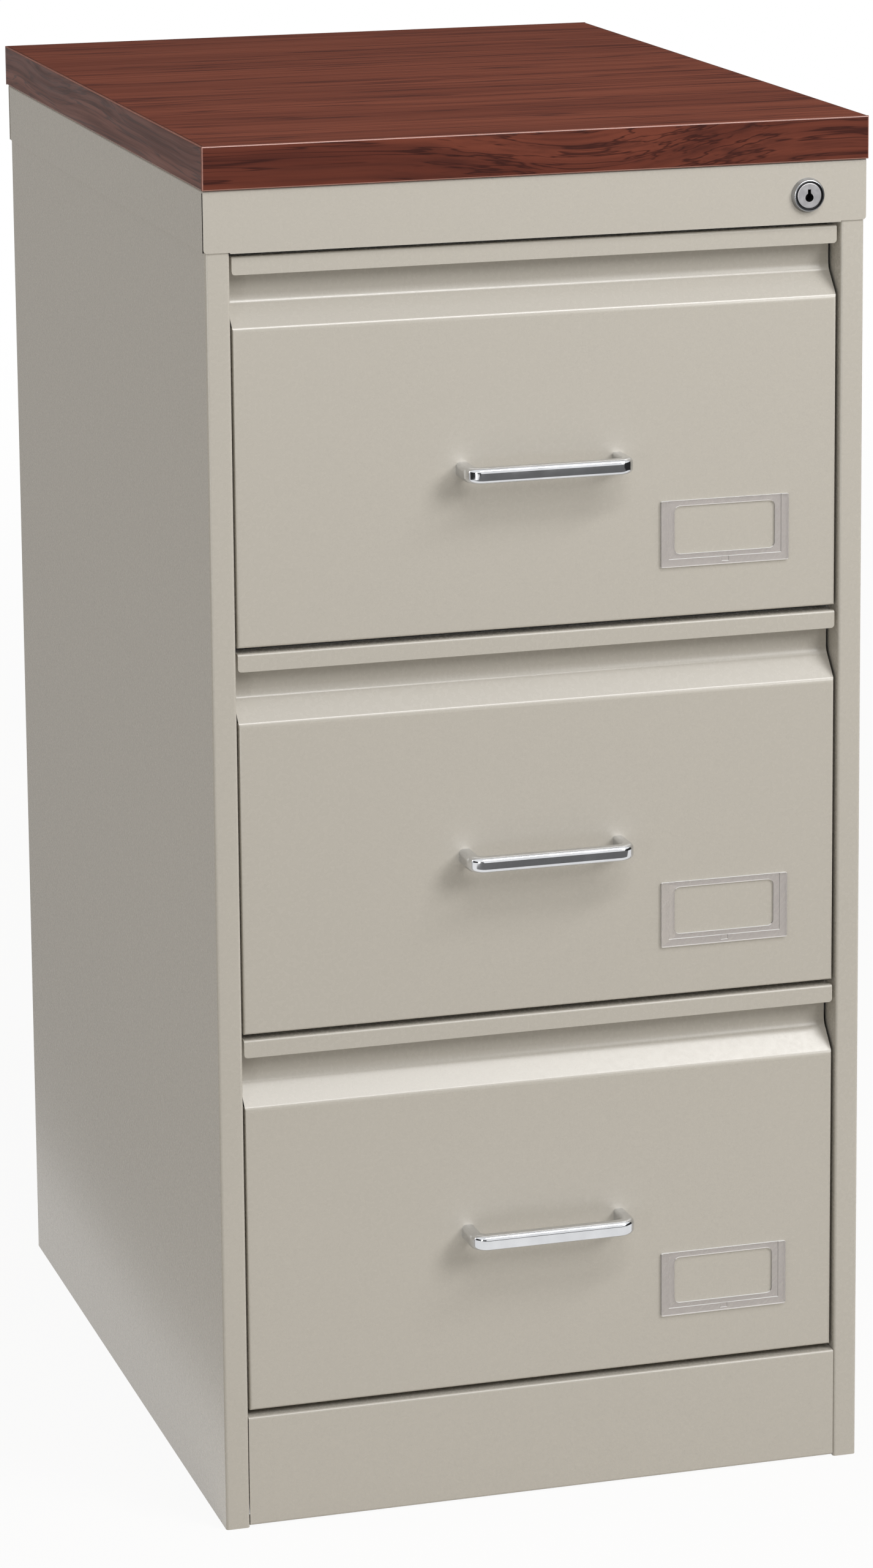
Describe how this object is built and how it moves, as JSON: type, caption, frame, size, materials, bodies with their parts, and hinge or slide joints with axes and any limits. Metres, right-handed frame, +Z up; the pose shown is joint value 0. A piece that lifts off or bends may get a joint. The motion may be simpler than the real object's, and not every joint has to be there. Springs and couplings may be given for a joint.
{
  "type": "filing cabinet",
  "caption": "Upright steel filing cabinet with deep pull-out drawers on ball slides, bow handles, clear label holders, a gang lock and a laminated wood top.",
  "frame": {"origin": "on the floor, at the middle of the steel body", "axes": "+Z up, the drawers open towards -Y, +X to the right as seen from the front"},
  "size_m": [0.474, 0.6555, 0.976],
  "materials": {
    "steel_paint": "satin greige powder coat",
    "zinc": "zinc-plated steel",
    "chrome": "polished chrome",
    "wood_laminate": "satin mahogany laminate",
    "wood_edging": "satin mahogany edging strip",
    "clear_plastic": "clear glossy plastic",
    "rubber": "black rubber",
    "nylon": "natural nylon"
  },
  "bodies": {
    "cabinet": {"left_side_panel": "steel_paint", "right_side_panel": "steel_paint", "back_panel": "steel_paint", "top_cap": "steel_paint", "wood_board": "wood_laminate", "board_edging": "wood_edging", "front_plinth": "steel_paint", "base_frame": "zinc", "floor_pan": "zinc", "front_uprights": "zinc", "rear_uprights": "zinc", "cross_rails": "zinc", "cabinet_slides": "zinc", "drawer_buffers": "rubber", "back_screws": "zinc", "board_screws": "zinc", "lock_housing": "chrome", "lock_nut": "zinc", "lock_bar_guides": "nylon"},
    "bottom_drawer": {"bottom_front": "steel_paint", "bottom_liner": "steel_paint", "bottom_tray": "steel_paint", "bottom_file_rails": "zinc", "bottom_handle": "chrome", "bottom_handle_screws": "zinc", "bottom_label_holder": "clear_plastic", "bottom_lock_catch": "zinc", "bottom_slide_inner": "zinc"},
    "bottom_slides": {"bottom_slide_middle": "zinc"},
    "bottom_outer_balls": {"bottom_outer_cage": "zinc"},
    "bottom_inner_balls": {"bottom_inner_cage": "zinc"},
    "middle_drawer": {"middle_front": "steel_paint", "middle_liner": "steel_paint", "middle_tray": "steel_paint", "middle_file_rails": "zinc", "middle_handle": "chrome", "middle_handle_screws": "zinc", "middle_label_holder": "clear_plastic", "middle_lock_catch": "zinc", "middle_slide_inner": "zinc"},
    "middle_slides": {"middle_slide_middle": "zinc"},
    "middle_outer_balls": {"middle_outer_cage": "zinc"},
    "middle_inner_balls": {"middle_inner_cage": "zinc"},
    "top_drawer": {"top_front": "steel_paint", "top_liner": "steel_paint", "top_tray": "steel_paint", "top_file_rails": "zinc", "top_handle": "chrome", "top_handle_screws": "zinc", "top_label_holder": "clear_plastic", "top_lock_catch": "zinc", "top_slide_inner": "zinc"},
    "top_slides": {"top_slide_middle": "zinc"},
    "top_outer_balls": {"top_outer_cage": "zinc"},
    "top_inner_balls": {"top_inner_cage": "zinc"},
    "lock_cylinder": {"lock_plug": "chrome", "lock_crank": "zinc", "crank_screw": "zinc"},
    "lock_bar": {"lock_bar": "zinc"}
  },
  "joints": [
    {"name": "bottom_drawer_slide", "type": "slide", "parent": "cabinet", "child": "bottom_drawer", "axis": [0, -1, 0], "range_m": [0, 0.5212]},
    {"name": "bottom_slides_travel", "type": "slide", "parent": "cabinet", "child": "bottom_slides", "axis": [0, -1, 0], "range_m": [0, 0.2608]},
    {"name": "bottom_outer_balls_travel", "type": "slide", "parent": "cabinet", "child": "bottom_outer_balls", "axis": [0, -1, 0], "range_m": [0, 0.1305]},
    {"name": "bottom_inner_balls_travel", "type": "slide", "parent": "cabinet", "child": "bottom_inner_balls", "axis": [0, -1, 0], "range_m": [0, 0.3911]},
    {"name": "middle_drawer_slide", "type": "slide", "parent": "cabinet", "child": "middle_drawer", "axis": [0, -1, 0], "range_m": [0, 0.5212]},
    {"name": "middle_slides_travel", "type": "slide", "parent": "cabinet", "child": "middle_slides", "axis": [0, -1, 0], "range_m": [0, 0.2608]},
    {"name": "middle_outer_balls_travel", "type": "slide", "parent": "cabinet", "child": "middle_outer_balls", "axis": [0, -1, 0], "range_m": [0, 0.1305]},
    {"name": "middle_inner_balls_travel", "type": "slide", "parent": "cabinet", "child": "middle_inner_balls", "axis": [0, -1, 0], "range_m": [0, 0.3911]},
    {"name": "top_drawer_slide", "type": "slide", "parent": "cabinet", "child": "top_drawer", "axis": [0, -1, 0], "range_m": [0, 0.5212]},
    {"name": "top_slides_travel", "type": "slide", "parent": "cabinet", "child": "top_slides", "axis": [0, -1, 0], "range_m": [0, 0.2608]},
    {"name": "top_outer_balls_travel", "type": "slide", "parent": "cabinet", "child": "top_outer_balls", "axis": [0, -1, 0], "range_m": [0, 0.1305]},
    {"name": "top_inner_balls_travel", "type": "slide", "parent": "cabinet", "child": "top_inner_balls", "axis": [0, -1, 0], "range_m": [0, 0.3911]},
    {"name": "lock_turn", "type": "hinge", "parent": "cabinet", "child": "lock_cylinder", "pos_m": [0.193, -0.3, 0.9225], "axis": [0, -1, 0], "range_deg": [0, 90.2]},
    {"name": "lock_bar_lift", "type": "slide", "parent": "cabinet", "child": "lock_bar", "axis": [0, 0, 1], "range_m": [0, 0.01272]}
  ],
  "couplings": [
    {"joint": "bottom_slides_travel", "follows": "bottom_drawer_slide", "ratio": 0.5},
    {"joint": "bottom_outer_balls_travel", "follows": "bottom_drawer_slide", "ratio": 0.25},
    {"joint": "bottom_inner_balls_travel", "follows": "bottom_drawer_slide", "ratio": 0.75},
    {"joint": "middle_slides_travel", "follows": "middle_drawer_slide", "ratio": 0.5},
    {"joint": "middle_outer_balls_travel", "follows": "middle_drawer_slide", "ratio": 0.25},
    {"joint": "middle_inner_balls_travel", "follows": "middle_drawer_slide", "ratio": 0.75},
    {"joint": "top_slides_travel", "follows": "top_drawer_slide", "ratio": 0.5},
    {"joint": "top_outer_balls_travel", "follows": "top_drawer_slide", "ratio": 0.25},
    {"joint": "top_inner_balls_travel", "follows": "top_drawer_slide", "ratio": 0.75},
    {"joint": "lock_turn", "follows": "lock_bar_lift", "rad_per_m": 123.41}
  ]
}
